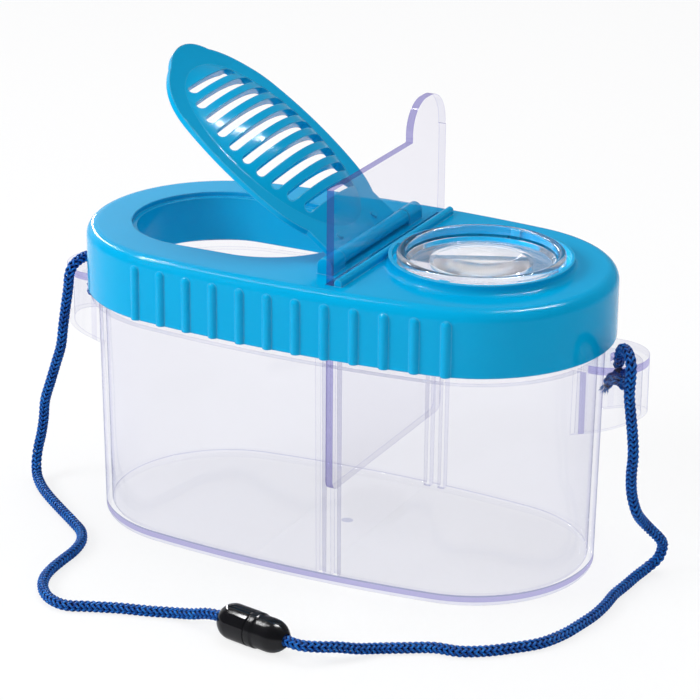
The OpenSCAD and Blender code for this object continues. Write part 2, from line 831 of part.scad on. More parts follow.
module ear_knot(turn) {
  color(cord_tint) {
    flat_ball(ear_knot_radius, ear_knot_flat);
    rotate([25, 0, 0])
      rotate_extrude($fn = 64)
        translate([ear_knot_radius * wrap_shares[0], 0])
          circle(ear_knot_radius * wrap_shares[1], $fn = 32);
    rotate([0, 0, turn])
      rotate([0, -120, 0])
        cylinder(r = cord_radius * tail_radius_share, h = knot_tail, $fn = 32);
  }
}

module knot_left() {
  translate(left_knot_place)
    ear_knot(200);
}

module knot_right() {
  translate(right_knot_place)
    ear_knot(20);
}

// Places a piece of the clasp, whose own axis is Z, along the clasp on the table.
module along_clasp() {
  translate(clasp_place)
    rotate([0, 0, clasp_turn])
      rotate([0, 90, 0])
        children();
}

// Outer shape of half a clasp, from its parting at zero to its rounded end.
module half_clasp(radius) {
  half = clasp_length / 2;
  square([radius, half - clasp_round]);
  square([radius - clasp_round, half]);
  intersection() {
    translate([radius - clasp_round, half - clasp_round])
      circle(clasp_round, $fn = 64);
    square([radius, half]);
  }
}

module clasp_socket() {
  cavity_end = clasp_length / 2 - clasp_end_wall;
  color(black_tint)
    along_clasp()
      mirror([0, 0, 1])
        rotate_extrude($fn = 96)
          difference() {
            half_clasp(socket_radius);
            translate([0, -clasp_round])
              square([socket_inner_radius, clasp_round + cavity_end]);
            square([clasp_bore, clasp_length]);
          }
}

module clasp_plug() {
  cavity_end = clasp_length / 2 - clasp_end_wall;
  spigot_radius = socket_inner_radius - plug_gap;
  color(black_tint)
    along_clasp()
      rotate_extrude($fn = 96)
        difference() {
          union() {
            half_clasp(plug_radius);
            translate([0, -plug_reach])
              square([spigot_radius, plug_reach + clasp_round / 2]);
          }
          translate([0, -clasp_length])
            square([plug_inner_radius, clasp_length + cavity_end]);
          square([clasp_bore, clasp_length]);
        }
}

module knot_socket() {
  color(cord_tint)
    along_clasp()
      mirror([0, 0, 1])
        translate([0, 0, cord_end_place - clasp_knot_flat])
          flat_ball(clasp_knot_radius, clasp_knot_flat);
}

module knot_plug() {
  color(cord_tint)
    along_clasp()
      translate([0, 0, cord_end_place - clasp_knot_flat])
        flat_ball(clasp_knot_radius, clasp_knot_flat);
}

tub();
lid();
vent_flap();
divider();
lens();
cord_left();
cord_right();
knot_left();
knot_right();
clasp_socket();
clasp_plug();
knot_socket();
knot_plug();
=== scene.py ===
import math
import random

import bpy
import numpy as np
from mathutils import Matrix, Vector


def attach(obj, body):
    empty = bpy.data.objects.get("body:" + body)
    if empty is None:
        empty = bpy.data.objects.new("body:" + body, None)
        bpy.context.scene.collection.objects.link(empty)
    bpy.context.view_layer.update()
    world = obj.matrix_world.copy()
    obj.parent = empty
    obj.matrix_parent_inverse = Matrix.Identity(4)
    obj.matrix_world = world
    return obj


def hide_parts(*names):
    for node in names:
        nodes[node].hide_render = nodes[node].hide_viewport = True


# Bug catcher jar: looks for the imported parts. Lengths are in metres.

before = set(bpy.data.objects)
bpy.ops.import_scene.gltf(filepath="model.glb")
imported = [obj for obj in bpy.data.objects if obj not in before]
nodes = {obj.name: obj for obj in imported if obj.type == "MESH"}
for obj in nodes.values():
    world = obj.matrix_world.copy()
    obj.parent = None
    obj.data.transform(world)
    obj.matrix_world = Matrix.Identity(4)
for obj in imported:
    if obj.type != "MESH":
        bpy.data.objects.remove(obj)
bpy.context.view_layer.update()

# Camera

cameraFacts = {
    "azimuth": 26.708,
    "elevation": 21.586,
    "roll": 0.476,
    "distance": 0.8957,
    "target": Vector((0, 0, 0.045)),
    "lens": 159.24,
    "shiftX": 0.00449,
    "shiftY": 0.04996,
}


def makeCamera():
    az = math.radians(cameraFacts["azimuth"])
    el = math.radians(cameraFacts["elevation"])
    roll = math.radians(cameraFacts["roll"])
    back = Vector((math.sin(az) * math.cos(el), -math.cos(az) * math.cos(el), math.sin(el)))
    right = Vector((math.cos(az), math.sin(az), 0))
    up = back.cross(right)
    turnedRight = right * math.cos(roll) + up * math.sin(roll)
    turnedUp = up * math.cos(roll) - right * math.sin(roll)
    data = bpy.data.cameras.new("camera")
    data.sensor_width = 36
    data.lens = cameraFacts["lens"]
    data.shift_x = cameraFacts["shiftX"]
    data.shift_y = cameraFacts["shiftY"]
    data.clip_start = 0.05
    data.clip_end = 20
    camera = bpy.data.objects.new("camera", data)
    place = cameraFacts["target"] + back * cameraFacts["distance"]
    turn = Matrix((turnedRight, turnedUp, back)).transposed().to_4x4()
    camera.matrix_world = Matrix.Translation(place) @ turn
    bpy.context.scene.collection.objects.link(camera)
    bpy.context.scene.camera = camera


makeCamera()
print("camera done")

# Cords

cordFacts = {
    "wales": 4,  # columns of stitches around the cord
    "course": 0.0016,  # length of one round of stitches
    "yarn": 0.00034,  # radius of the yarn
    "core": 0.0006,  # radius of the strand inside, coloured darkest as painted shade in the gaps between stitches
    "middle": 0.00112,  # mean distance of the yarn from the cord's middle
    "loop": 0.0009,  # half the height of a stitch
    "lean": 0.3,  # how far a stitch spreads sideways
    "sway": 0.0002,  # how far the yarn moves in and out
    "samples": 14,  # points along one stitch
    "sides": 7,
    "coreSides": 8,
    "step": 0.0004,  # between two points of a cord's middle line
    "twist": 2400,  # turn of the fibres, in radians a metre
    "stretch": 260,  # run of the fibre pattern along the yarn
    "frayDepth": 0.9,  # how bright the loose ends are on the painted shade of the depth ramp, from 0 to 1
}

# Routes from an ear to the clasp, in millimetres.
leftRoute = [
    (-83.5, 0.5, 63.2), (-83.5, 0.5, 66.2), (-83.5, -0.3, 69.4), (-83.6, -2.6, 71.5), (-83.8, -5.7, 72.4),
    (-84.1, -8.9, 72.3), (-84.7, -11.6, 71.2), (-85.2, -12.9, 69), (-86, -12.7, 64), (-87.1, -12.5, 58.4),
    (-88.1, -12.6, 52), (-89.1, -12.6, 45.4), (-91.3, -12.3, 39.1), (-93.6, -12, 32.7), (-95.9, -11.6, 26.3),
    (-97.2, -10.7, 19.8), (-98.8, -9.9, 13.8), (-100.2, -9.7, 8.9), (-100, -11.1, 5), (-98.2, -13.8, 2.5),
    (-94.4, -18, 1.65), (-88.4, -23.7, 1.65), (-79.7, -30.7, 1.65), (-71, -37.4, 1.65), (-65.1, -42.4, 1.65),
    (-61.6, -48, 1.65), (-60, -54.2, 1.65), (-59.6, -61.7, 1.65), (-59.1, -68.3, 1.65), (-57.7, -74.2, 1.65),
    (-54.5, -80.1, 1.65), (-49.5, -84.8, 1.65), (-43.3, -86.5, 1.65), (-36.7, -84.1, 1.65), (-28.9, -81.2, 1.65),
    (-20.8, -79, 1.65), (-14, -77.2, 1.9), (-8, -77.4, 3), (-3, -78, 4.5), (1.2, -78.8, 5.1),
    (4.4, -79.5, 5.1),
]
rightRoute = [
    (83.9, -0.3, 65.2), (83.9, -0.3, 67.6), (84.3, -0.8, 70.2), (85.6, -2.4, 72.3), (87.4, -4.5, 73.1),
    (89.2, -6.6, 72.5), (90.6, -8.3, 70.6), (90.9, -8.8, 67.6), (90.7, -8.8, 62), (91.2, -8.3, 56),
    (91.7, -7.5, 49.5), (91.9, -6.9, 43.4), (91, -5.3, 37), (90.5, -2.9, 30), (91.4, -1.3, 24.4),
    (91.6, 4.4, 18.9), (92.8, 8.2, 15), (94, 10.9, 12), (94.2, 13.6, 8.8), (93, 13.7, 4.5),
    (90.8, 11.1, 2.1), (89.8, 5.2, 1.65), (89.4, -2.3, 1.65), (88.9, -9, 1.65), (89.3, -16.3, 1.65),
    (89.1, -23.5, 1.65), (88, -30.7, 1.65), (86.2, -39.1, 1.65), (82.8, -47, 1.65), (77.6, -52.8, 1.65),
    (71.8, -58.1, 1.65), (65.7, -61.6, 1.65), (58.4, -62.9, 1.65), (51.8, -66.5, 1.65), (45.5, -70.1, 1.65),
    (41.4, -74.9, 2.7), (37.4, -79.1, 4.1), (33.6, -82.8, 4.9), (29, -84.6, 5.1), (22.4, -83.3, 5.1),
]


# Even points, in metres, along a smooth curve through points given in millimetres.
def smoothLine(points, step, parts=24):
    p = [Vector(q) * 0.001 for q in points]
    p = [p[0] * 2 - p[1]] + p + [p[-1] * 2 - p[-2]]
    fine = []
    for i in range(1, len(p) - 2):
        a, b, c, d = p[i - 1 : i + 3]
        t0 = 0.0
        t1 = t0 + math.sqrt((b - a).length)
        t2 = t1 + math.sqrt((c - b).length)
        t3 = t2 + math.sqrt((d - c).length)
        for k in range(parts):
            t = t1 + (t2 - t1) * k / parts
            ab = a * ((t1 - t) / (t1 - t0)) + b * ((t - t0) / (t1 - t0))
            bc = b * ((t2 - t) / (t2 - t1)) + c * ((t - t1) / (t2 - t1))
            cd = c * ((t3 - t) / (t3 - t2)) + d * ((t - t2) / (t3 - t2))
            abc = ab * ((t2 - t) / (t2 - t0)) + bc * ((t - t0) / (t2 - t0))
            bcd = bc * ((t3 - t) / (t3 - t1)) + cd * ((t - t1) / (t3 - t1))
            fine.append(abc * ((t2 - t) / (t2 - t1)) + bcd * ((t - t1) / (t2 - t1)))
    fine.append(p[-2])
    run = [0.0]
    for a, b in zip(fine, fine[1:]):
        run.append(run[-1] + (b - a).length)
    count = max(2, round(run[-1] / step))
    out, j = [], 0
    for k in range(count + 1):
        s = run[-1] * k / count
        while j < len(run) - 2 and run[j + 1] < s:
            j += 1
        part = (s - run[j]) / max(run[j + 1] - run[j], 1e-12)
        out.append(fine[j].lerp(fine[j + 1], min(max(part, 0), 1)))
    return out, run[-1]


def addMaterial(obj, material):
    obj.data.materials.append(material)


def meshObject(name, verts, faces):
    mesh = bpy.data.meshes.new(name)
    mesh.from_pydata([tuple(v) for v in verts], [], faces)
    mesh.validate()
    mesh.update()
    obj = bpy.data.objects.new(name, mesh)
    bpy.context.scene.collection.objects.link(obj)
    return obj


# Each point of a line with two directions across it, carried along so that they don't twist.
def framesAlong(line):
    count = len(line)
    sides, ups = [], []
    side = None
    for i in range(count):
        way = (line[min(i + 1, count - 1)] - line[max(i - 1, 0)]).normalized()
        if side is None:
            side = way.orthogonal().normalized()
        side = (side - way * side.dot(way)).normalized()
        sides.append(tuple(side))
        ups.append(tuple(way.cross(side)))
    return np.array([tuple(p) for p in line]), np.array(sides), np.array(ups)


# Rows read at places between them.
def rowsAt(rows, at):
    low = np.clip(np.floor(at).astype(int), 0, len(rows) - 2)
    part = (at - low)[:, None]
    return rows[low] * (1 - part) + rows[low + 1] * part


def unitRows(rows):
    return rows / np.maximum(np.linalg.norm(rows, axis=1), 1e-12)[:, None]


# The middle of one yarn that goes round and round the cord, drawn up into a loop at every stitch.
def knitLoops(line, facts):
    places, sides, ups = framesAlong(line)
    spacing = float(np.linalg.norm(np.diff(places, axis=0), axis=1).mean())
    length = spacing * (len(line) - 1)
    stitches = int((length - 2 * facts["loop"]) / facts["course"] * facts["wales"])
    t = np.linspace(0, 2 * math.pi * stitches, stitches * facts["samples"] + 1)
    u = t / (2 * math.pi)
    along = facts["loop"] + facts["course"] * u / facts["wales"] - facts["loop"] * np.cos(t)
    angle = 2 * math.pi * (u + facts["lean"] * np.sin(2 * t)) / facts["wales"]
    radius = facts["middle"] - facts["sway"] * np.cos(2 * t)
    at = np.clip(along / spacing, 0, len(line) - 1)
    middle = rowsAt(places, at)
    out = unitRows(rowsAt(sides, at) * np.cos(angle)[:, None] + rowsAt(ups, at) * np.sin(angle)[:, None])
    return middle, out, middle + out * radius[:, None]


# A round strand along points, whose first side faces outs, and where each of its points lies in the fibre pattern.
def strand(points, outs, radius, sides, taper=None):
    count = len(points)
    ways = np.empty_like(points)
    ways[1:-1] = points[2:] - points[:-2]
    ways[0], ways[-1] = points[1] - points[0], points[-1] - points[-2]
    ways = unitRows(ways)
    outs = unitRows(outs - ways * np.sum(outs * ways, axis=1)[:, None])
    across = np.cross(ways, outs)
    turn = 2 * math.pi * np.arange(sides) / sides
    thick = np.full(count, radius) if taper is None else radius * taper
    rings = outs[:, None] * np.cos(turn)[None, :, None] + across[:, None] * np.sin(turn)[None, :, None]
    verts = (points[:, None] + rings * thick[:, None, None]).reshape(-1, 3)
    k = np.arange(sides)
    first = (np.arange(count - 1) * sides)[:, None] + k[None]
    beside = (np.arange(count - 1) * sides)[:, None] + ((k + 1) % sides)[None]
    quads = np.stack([first, beside, beside + sides, first + sides], axis=2).reshape(-1, 4)
    run = np.concatenate([[0], np.cumsum(np.linalg.norm(np.diff(points, axis=0), axis=1))])
    twist = turn[None] + cordFacts["twist"] * run[:, None]
    stretched = np.repeat(run[:, None] * cordFacts["stretch"], sides, axis=1)
    fibre = np.stack([np.cos(twist), np.sin(twist), stretched], axis=2)
    return verts, quads, fibre.reshape(-1, 3)


frayFacts = {
    "count": 46,
    "spread": 0.8,  # over the cut end, as a share of the cord's radius
    "lean": 0.45,
    "droop": 0.35,
    "length": (0.0006, 0.0015),
    "radius": 0.00011,
    "sides": 4,
    "taper": [1, 1, 0.95, 0.85, 0.6, 0.2],
}


# Loose ends of yarn that stand out of a cut end.
def frayed(end, way, facts, seed):
    dice = random.Random(seed)
    taper = np.array(frayFacts["taper"])
    last = len(taper) - 1
    parts = []
    for _ in range(frayFacts["count"]):
        lean = Vector((dice.uniform(-1, 1), dice.uniform(-1, 1), dice.uniform(-1, 1)))
        first = end + lean * facts["middle"] * frayFacts["spread"]
        heading = (way + lean * frayFacts["lean"]).normalized()
        droop = Vector((dice.uniform(-1, 1), dice.uniform(-1, 1), dice.uniform(-1.2, 0.4))) * frayFacts["droop"]
        long = dice.uniform(*frayFacts["length"])
        points = [first + heading * (long * k / last) + droop * (long * (k / last) ** 2) for k in range(last + 1)]
        points = np.array([tuple(p) for p in points])
        outs = np.tile(np.array(tuple(heading.orthogonal().normalized())), (last + 1, 1))
        parts.append(strand(points, outs, frayFacts["radius"], frayFacts["sides"], taper))
    return parts


# A cord or knot along a line: the yarn, the strand inside it that is coloured darkest as painted shade, and any
# loose ends.
def knitCord(name, line, facts, fray=None):
    middle, out, points = knitLoops(line, facts)
    verts, quads, fibre = strand(points, out, facts["yarn"], facts["sides"])
    reach = np.linalg.norm(verts - np.repeat(middle, facts["sides"], axis=0), axis=1)
    low = facts["middle"] - facts["sway"] - facts["yarn"]
    high = facts["middle"] + facts["sway"] + facts["yarn"]
    depth = np.clip((reach - low) / (high - low), 0, 1)
    allVerts, allQuads, allFibre, allDepth = [verts], [quads], [fibre], [depth]
    total = len(verts)
    places, across, _ = framesAlong(line)
    core = strand(places, across, facts["core"], facts["coreSides"])
    # The strand inside gets depth 0, the darkest painted shade; the loose ends sit near the lit end.
    for extra, shade in [(core, 0.0)] + [(part, facts["frayDepth"]) for part in fray or []]:
        allVerts.append(extra[0])
        allQuads.append(extra[1] + total)
        allFibre.append(extra[2])
        allDepth.append(np.full(len(extra[0]), shade))
        total += len(extra[0])
    faces = np.concatenate(allQuads).tolist()
    faces.append(list(range(facts["sides"] - 1, -1, -1)))
    faces.append([len(verts) - facts["sides"] + k for k in range(facts["sides"])])
    obj = meshObject(name, np.concatenate(allVerts).tolist(), faces)
    layer = obj.data.attributes.new("depth", "FLOAT", "POINT")
    layer.data.foreach_set("value", np.concatenate(allDepth).astype(np.float32))
    layer = obj.data.attributes.new("fibre", "FLOAT_VECTOR", "POINT")
    layer.data.foreach_set("vector", np.concatenate(allFibre).astype(np.float32).ravel())
    obj.data.polygons.foreach_set("use_smooth", [True] * len(obj.data.polygons))
    return obj


# Stopper knots under the ears, in millimetres and degrees.
knotFacts = {
    "start": [(0, 0, 2.6), (0, 0, 1.4), (0.3, 0.2, -0.4), (1.2, 0.5, -1.9), (2.2, -0.2, -1.7)],
    "winding": {"points": 12, "from": 30, "by": 33, "reach": 1.95, "wave": 0.2, "low": -1.0, "rise": 0.2},
    "tail": [(-2.1, -0.9, 0.2), (-2.6, -0.7, -1.2), (-3.3, -0.7, -2.6)],
    "knit": {"middle": 0.001, "course": 0.0014, "loop": 0.0008},
    "left": {"place": (-83.5, 0.5, 60.6), "turn": 170, "seed": 3},
    "right": {"place": (83.9, -0.3, 62.6), "turn": 16, "seed": 5},
}


# The cord runs down, round itself and out to a short frayed tail.
def earKnot(name, spot):
    wind = knotFacts["winding"]
    route = list(knotFacts["start"])
    for k in range(wind["points"]):
        angle = wind["from"] + wind["by"] * k
        reach = wind["reach"] + wind["wave"] * math.sin(math.radians(3 * angle))
        height = wind["low"] + wind["rise"] * k
        route.append((reach * math.cos(math.radians(angle)), reach * math.sin(math.radians(angle)), height))
    route += knotFacts["tail"]
    spin = Matrix.Rotation(math.radians(spot["turn"]), 3, "Z")
    moved = [spin @ Vector(p) + Vector(spot["place"]) for p in route]
    line, _ = smoothLine(moved, cordFacts["step"])
    facts = dict(cordFacts, **knotFacts["knit"])
    ends = frayed(line[-1], (line[-1] - line[-3]).normalized(), facts, spot["seed"])
    return knitCord(name, line, facts, ends)


leftLine, leftLength = smoothLine(leftRoute, cordFacts["step"])
rightLine, rightLength = smoothLine(rightRoute, cordFacts["step"])
cordLeft = knitCord("cordLeft", leftLine, cordFacts)
cordRight = knitCord("cordRight", rightLine, cordFacts)
knotLeft = earKnot("knotLeft", knotFacts["left"])
knotRight = earKnot("knotRight", knotFacts["right"])

# Clasp halves, turned about the clasp's own axis: each row is a place along it and a radius, in millimetres.

claspFacts = {
    "middle": (13.4, -81.4, 5.1),
    "turn": -12,
    "around": 96,
    "sharp": 50,  # degrees between faces that meet in an edge
    "socket": [
        (-0.02, 4.96), (-0.1, 5.06), (-0.2, 5.1), (-0.35, 5.1), (-6.6, 5.1), (-7.0, 5.09), (-7.8, 4.98),
        (-8.7, 4.7), (-9.5, 4.24), (-10.2, 3.66), (-10.8, 3.0), (-11.2, 2.48), (-11.42, 2.15), (-11.5, 1.98),
        (-11.42, 1.88), (-11.1, 1.85), (-9.4, 1.85), (-9.4, 3.7), (-0.02, 3.7),
    ],
    "plug": [
        (-2.5, 3.45), (-2.35, 3.6), (0.06, 3.62), (0.06, 4.84), (0.14, 4.98), (0.3, 5.04), (0.45, 5.05), (2.0, 5.05),
        (2.15, 5.04), (2.32, 4.98), (2.5, 4.86), (2.72, 4.76), (3.0, 4.72), (3.3, 4.71), (5.6, 4.76), (6.6, 4.74),
        (7.5, 4.62), (8.4, 4.36), (9.2, 3.96), (10.0, 3.42), (10.7, 2.8), (11.15, 2.36), (11.4, 2.1), (11.5, 1.95),
        (11.42, 1.86), (11.1, 1.85), (9.4, 1.85), (9.4, 2.9), (-2.5, 2.9),
    ],
}


# A circle at the first row, drawn out from row to row and joined to itself at the end.
def claspHalf(name, profile):
    turn = math.radians(claspFacts["turn"])
    along = Vector((math.cos(turn), math.sin(turn), 0))
    spots = [(Vector(claspFacts["middle"]) + along * place) * 0.001 for place, _ in profile]
    radii = [radius * 0.001 for _, radius in profile]
    bpy.ops.object.select_all(action="DESELECT")
    bpy.ops.mesh.primitive_circle_add(
        vertices=claspFacts["around"],
        radius=radii[0],
        location=spots[0],
        rotation=(0, math.pi / 2, turn),
        calc_uvs=False,
    )
    obj = bpy.context.object
    obj.name = obj.data.name = name
    bpy.ops.object.transform_apply(location=True, rotation=True, scale=True)
    bpy.ops.object.mode_set(mode="EDIT")
    bpy.ops.mesh.select_mode(type="EDGE")
    bpy.ops.mesh.select_all(action="SELECT")
    for i in range(1, len(profile)):
        bpy.ops.mesh.extrude_edges_move(TRANSFORM_OT_translate={"value": spots[i] - spots[i - 1]})
        bpy.ops.transform.resize(value=[radii[i] / radii[i - 1]] * 3, center_override=spots[i])
    bpy.ops.mesh.select_all(action="DESELECT")
    bpy.ops.mesh.select_non_manifold()
    bpy.ops.mesh.bridge_edge_loops()
    bpy.ops.mesh.select_all(action="SELECT")
    bpy.ops.mesh.normals_make_consistent(inside=False)
    bpy.ops.object.mode_set(mode="OBJECT")
    bpy.ops.object.shade_smooth_by_angle(angle=math.radians(claspFacts["sharp"]))
    obj.select_set(False)
    return obj


claspSocket = claspHalf("claspSocket", claspFacts["socket"])
claspPlug = claspHalf("claspPlug", claspFacts["plug"])
print("clasp done")
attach(claspSocket, "tub")
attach(claspPlug, "plug")
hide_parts("clasp_socket")
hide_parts("clasp_plug")
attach(cordLeft, "tub")
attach(cordRight, "tub")
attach(knotLeft, "tub")
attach(knotRight, "tub")
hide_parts("cord_left")
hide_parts("cord_right")
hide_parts("knot_left")
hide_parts("knot_right")
print("cords done")

# Materials


def newMaterial(name):
    material = bpy.data.materials.new(name)
    material.use_nodes = True
    tree = material.node_tree
    tree.nodes.clear()
    out = tree.nodes.new("ShaderNodeOutputMaterial")
    shader = tree.nodes.new("ShaderNodeBsdfPrincipled")
    tree.links.new(shader.outputs["BSDF"], out.inputs["Surface"])
    return material, tree, shader, out


# A node with its settings, and with each input linked where it is given a socket and set where it is a value.
def addNode(tree, kind, inputs=(), **settings):
    node = tree.nodes.new(kind)
    for name, value in settings.items():
        setattr(node, name, value)
    for name, value in dict(inputs).items():
        if isinstance(value, bpy.types.NodeSocket):
            tree.links.new(value, node.inputs[name])
        else:
            node.inputs[name].default_value = value
    return node


def objectPlace(tree):
    return addNode(tree, "ShaderNodeTexCoord").outputs["Object"]


def noise(tree, place, scale, detail=2.0, roughness=0.5):
    return addNode(
        tree,
        "ShaderNodeTexNoise",
        {"Vector": place, "Scale": scale, "Detail": detail, "Roughness": roughness},
    ).outputs["Fac"]


def ramp(tree, value, stops):
    node = addNode(tree, "ShaderNodeValToRGB", {"Fac": value})
    elements = node.color_ramp.elements
    while len(elements) > 1:
        elements.remove(elements[-1])
    elements[0].position = stops[0][0]
    elements[0].color = (*stops[0][1], 1)
    for position, colour in stops[1:]:
        elements.new(position).color = (*colour, 1)
    return node.outputs["Color"]


def mapRange(tree, value, low, high, toLow, toHigh):
    return addNode(
        tree,
        "ShaderNodeMapRange",
        {"Value": value, "From Min": low, "From Max": high, "To Min": toLow, "To Max": toHigh},
    ).outputs["Result"]


# 0 at one value and 1 at the other, clamped outside them.
def fade(tree, value, none, full):
    return mapRange(tree, value, none, full, 0.0, 1.0)


def maths(tree, operation, a, b=0.0):
    return addNode(tree, "ShaderNodeMath", {0: a, 1: b}, operation=operation).outputs[0]


def vectorMaths(tree, operation, a, b, output="Vector"):
    return addNode(tree, "ShaderNodeVectorMath", {0: a, 1: b}, operation=operation).outputs[output]


def times(tree, first, *others):
    for other in others:
        first = maths(tree, "MULTIPLY", first, other)
    return first


def mixShaders(tree, share, first, second):
    node = addNode(tree, "ShaderNodeMixShader", {0: share})
    tree.links.new(first.outputs[0], node.inputs[1])
    tree.links.new(second.outputs[0], node.inputs[2])
    return node


# Noise around its middle turned into a narrow range of roughness.
def roughness(tree, fine, limits):
    return mapRange(tree, fine, 0.3, 0.7, *limits)


def bump(tree, height, strength, distance):
    return addNode(
        tree, "ShaderNodeBump", {"Height": height, "Strength": strength, "Distance": distance}
    ).outputs["Normal"]


def mixColour(tree, share, a, b, blend="MIX"):
    node = tree.nodes.new("ShaderNodeMix")
    node.data_type = "RGBA"
    node.blend_type = blend
    for socket, value in ((node.inputs[0], share), (node.inputs[6], a), (node.inputs[7], b)):
        if isinstance(value, bpy.types.NodeSocket):
            tree.links.new(value, socket)
        else:
            socket.default_value = (*value, 1) if isinstance(value, tuple) else value
    return node.outputs[2]


def rounded(tree, radius):
    return addNode(tree, "ShaderNodeBevel", {"Radius": radius}, samples=4).outputs["Normal"]


# How near a point is to a sharp edge: 0 on a flat, 1 on the edge.
def edgeNear(tree, reach):
    soft = rounded(tree, reach)
    flat = addNode(tree, "ShaderNodeNewGeometry").outputs["Normal"]
    return fade(tree, vectorMaths(tree, "DOT_PRODUCT", soft, flat, "Value"), 1.0, 0.8)


blueFacts = {
    "deep": (0.0, 0.345, 0.64),
    "colour": (0.0, 0.365, 0.67),
    "broad": 18,
    "fine": 900,
    # Painted highlight: paler along edges, where the rounded rims would catch light.
    "edge": (0.16, 0.6, 0.84),
    "edgeReach": 0.0006,
    "edgeHighlightShare": 0.5,
    "rough": (0.11, 0.17),
    "rounding": 0.0005,
    "wave": {"Strength": 0.06, "Distance": 0.002},
    "ior": 1.5,
    "shine": 0.1,
}


# Moulded blue of lid and flap, paler along its edges as a painted highlight, with a slight wave in its gloss.
def bluePlastic(name):
    facts = blueFacts
    material, tree, shader, _ = newMaterial(name)
    place = objectPlace(tree)
    broad = noise(tree, place, facts["broad"])
    fine = noise(tree, place, facts["fine"], 3)
    body = ramp(tree, broad, [(0.3, facts["deep"]), (0.7, facts["colour"])])
    body = mixColour(tree, times(tree, edgeNear(tree, facts["edgeReach"]), facts["edgeHighlightShare"]), body, facts["edge"])
    tree.links.new(body, shader.inputs["Base Color"])
    tree.links.new(roughness(tree, fine, facts["rough"]), shader.inputs["Roughness"])
    soft = rounded(tree, facts["rounding"])
    wave = addNode(tree, "ShaderNodeBump", {"Height": broad, "Normal": soft, **facts["wave"]})
    tree.links.new(wave.outputs["Normal"], shader.inputs["Normal"])
    shader.inputs["IOR"].default_value = facts["ior"]
    shader.inputs["Specular IOR Level"].default_value = facts["shine"]
    return material


# The faces whose direction in the object lies along an axis, as far as two values of its share say.
def facesAlong(tree, axis, low, high):
    normal = addNode(tree, "ShaderNodeTexCoord").outputs["Normal"]
    along = addNode(tree, "ShaderNodeSeparateXYZ", {"Vector": normal}).outputs[axis]
    return fade(tree, maths(tree, "ABSOLUTE", along), low, high)


# 1 between two heights and 0 outside them, with a soft step at each.
def heightBand(tree, height, low, high):
    step = 0.0001
    upper = fade(tree, height, high + step, high)
    return maths(tree, "SUBTRACT", upper, fade(tree, height, low, low - step))


# Where the tub is painted darker and violet: painted shade for light bent and held in the plastic's thickness,
# except the gate mark, which the plastic has. Heights and places are in metres in the tub's own frame.
tubMarks = {
    "foot": {"side": "outer", "heights": (0.0016, 0.003), "colour": (0.53, 0.51, 0.77)},
    "below": {"side": "outer", "heights": (-0.001, 0.0016), "colour": (0.87, 0.87, 0.94)},
    "line": {"side": "outer", "heights": (0.0031, 0.0035), "colour": (0.42, 0.43, 0.64)},
    "corner": {"side": "inner", "heights": (0.002, 0.0027), "colour": (0.72, 0.72, 0.85)},
    "guide": {"at": 0.0124, "reach": (0.0037, 0.0036), "colour": (0.9, 0.9, 0.95)},
    "plate": {"height": (0.0671, 0.0673), "from": (0.0792, 0.0796), "colour": (0.55, 0.53, 0.8)},
    "joint": {
        "at": 0.078,
        "reach": (0.001, 0.0008),
        "top": (0.0674, 0.0672),
        "back": 0.1,  # share of it at the back
        "left": 0.3,  # and at the left ear
        "colour": (0.66, 0.65, 0.85),
    },
    "gate": {
        "place": (0.0003, 0.0003, 0.0022),
        "shape": (1.0, 1.1, 1.0),
        "reach": (0.0019, 0.0016),
        "colour": (0.75, 0.76, 0.87),
    },
}


# Painted shade in the band around the foot and the lines at the floor, on the sides of the ribs that guide the
# divider, at the edges of the ears' plates and at the joints of the ears to the wall; and the small mark where the
# plastic was let into the mould, which is the plastic's own.
def tubBands(tree, place):
    parts = addNode(tree, "ShaderNodeSeparateXYZ", {"Vector": place}).outputs
    upright = facesAlong(tree, "Z", 0.8, 0.5)
    normal = addNode(tree, "ShaderNodeTexCoord").outputs["Normal"]
    away = vectorMaths(tree, "MULTIPLY", place, (1.0, 1.0, 0.0))
    away = vectorMaths(tree, "DOT_PRODUCT", normal, away, "Value")
    sides = {
        "outer": times(tree, upright, fade(tree, away, 0.02, 0.026)),
        "inner": times(tree, upright, fade(tree, away, -0.02, -0.026)),
    }
    found = {}
    for name in ("foot", "below", "line", "corner"):
        mark = tubMarks[name]
        found[name] = times(tree, sides[mark["side"]], heightBand(tree, parts["Z"], *mark["heights"]))
    mark = tubMarks["guide"]
    off = maths(tree, "ABSOLUTE", maths(tree, "SUBTRACT", parts["X"], mark["at"]))
    found["guide"] = times(tree, fade(tree, off, *mark["reach"]), facesAlong(tree, "X", 0.8, 0.9))
    mark = tubMarks["plate"]
    side = maths(tree, "ABSOLUTE", parts["X"])
    found["plate"] = times(tree, fade(tree, parts["Z"], *mark["height"]), fade(tree, side, *mark["from"]), upright)
    mark = tubMarks["joint"]
    off = maths(tree, "ABSOLUTE", maths(tree, "SUBTRACT", side, mark["at"]))
    front = mapRange(tree, parts["Y"], 0.001, -0.001, mark["back"], 1.0)
    right = mapRange(tree, parts["X"], -0.01, 0.01, mark["left"], 1.0)
    found["joint"] = times(
        tree,
        fade(tree, off, *mark["reach"]),
        times(tree, front, right),
        facesAlong(tree, "Y", 0.9, 0.95),
        fade(tree, parts["Z"], *mark["top"]),
    )
    mark = tubMarks["gate"]
    off = vectorMaths(tree, "MULTIPLY", vectorMaths(tree, "SUBTRACT", place, mark["place"]), mark["shape"])
    off = addNode(tree, "ShaderNodeVectorMath", {0: off}, operation="LENGTH").outputs["Value"]
    found["gate"] = fade(tree, off, *mark["reach"])
    return [(share, tubMarks[name]["colour"]) for name, share in found.items()]


# The divider's narrow faces look violet, because light travels a long way through the sheet to reach them.
def dividerBands(tree, place):
    height = addNode(tree, "ShaderNodeSeparateXYZ", {"Vector": place}).outputs["Z"]
    return [
        (facesAlong(tree, "X", 0.7, 0.4), (0.47, 0.45, 0.73)),
        (fade(tree, height, 0.084, 0.094), (0.93, 0.925, 0.96)),
    ]


